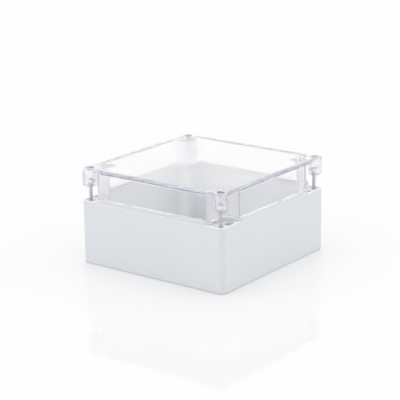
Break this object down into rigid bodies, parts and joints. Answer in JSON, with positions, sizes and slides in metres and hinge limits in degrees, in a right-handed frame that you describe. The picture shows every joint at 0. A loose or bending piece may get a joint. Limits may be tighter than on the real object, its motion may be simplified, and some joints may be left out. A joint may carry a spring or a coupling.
{
  "type": "outdoor plastic enclosure",
  "caption": "Square wall-mount enclosure: grey moulded base and clear lift-off lid on a sealed rim, held by captive corner screws in threaded inserts.",
  "frame": {"origin": "centre of the rear face, on the plane of the wall or table that it sits on", "axes": "+Z from the rear face out through the lid; X and Y along the sides; each mounting hole lies beside its lid screw along Y"},
  "size_m": [0.16, 0.16, 0.09],
  "materials": {
    "base_plastic": "fine moulded grain, light grey",
    "clear_plastic": "clear polished polycarbonate",
    "seal_rubber": "pale elastomer",
    "screw_steel": "turned stainless steel",
    "insert_brass": "turned brass"
  },
  "bodies": {
    "base": {"base": "base_plastic", "insert_front_left": "insert_brass", "insert_front_right": "insert_brass", "insert_back_left": "insert_brass", "insert_back_right": "insert_brass"},
    "lid": {"lid": "clear_plastic", "gasket": "seal_rubber"},
    "washer_front_left": {"washer_front_left": "screw_steel"},
    "screw_front_left": {"screw_front_left": "screw_steel"},
    "washer_front_right": {"washer_front_right": "screw_steel"},
    "screw_front_right": {"screw_front_right": "screw_steel"},
    "washer_back_left": {"washer_back_left": "screw_steel"},
    "screw_back_left": {"screw_back_left": "screw_steel"},
    "washer_back_right": {"washer_back_right": "screw_steel"},
    "screw_back_right": {"screw_back_right": "screw_steel"}
  },
  "joints": [
    {"name": "lid_lift", "type": "slide", "parent": "base", "child": "lid", "axis": [0, 0, 1], "range_m": [0, 0.1]},
    {"name": "rise_front_left", "type": "slide", "parent": "lid", "child": "washer_front_left", "axis": [0, 0, 1], "range_m": [0, 0.0091]},
    {"name": "turn_front_left", "type": "hinge", "parent": "washer_front_left", "child": "screw_front_left", "pos_m": [-0.0735, -0.0735, 0.0768], "axis": [0, 0, 1], "range_deg": [0, 4680]},
    {"name": "rise_front_right", "type": "slide", "parent": "lid", "child": "washer_front_right", "axis": [0, 0, 1], "range_m": [0, 0.0091]},
    {"name": "turn_front_right", "type": "hinge", "parent": "washer_front_right", "child": "screw_front_right", "pos_m": [0.0735, -0.0735, 0.0768], "axis": [0, 0, 1], "range_deg": [0, 4680]},
    {"name": "rise_back_left", "type": "slide", "parent": "lid", "child": "washer_back_left", "axis": [0, 0, 1], "range_m": [0, 0.0091]},
    {"name": "turn_back_left", "type": "hinge", "parent": "washer_back_left", "child": "screw_back_left", "pos_m": [-0.0735, 0.0735, 0.0768], "axis": [0, 0, 1], "range_deg": [0, 4680]},
    {"name": "rise_back_right", "type": "slide", "parent": "lid", "child": "washer_back_right", "axis": [0, 0, 1], "range_m": [0, 0.0091]},
    {"name": "turn_back_right", "type": "hinge", "parent": "washer_back_right", "child": "screw_back_right", "pos_m": [0.0735, 0.0735, 0.0768], "axis": [0, 0, 1], "range_deg": [0, 4680]}
  ],
  "couplings": [
    {"joint": "turn_front_left", "follows": "rise_front_left", "rad_per_m": 8976},
    {"joint": "turn_front_right", "follows": "rise_front_right", "rad_per_m": 8976},
    {"joint": "turn_back_left", "follows": "rise_back_left", "rad_per_m": 8976},
    {"joint": "turn_back_right", "follows": "rise_back_right", "rad_per_m": 8976}
  ]
}
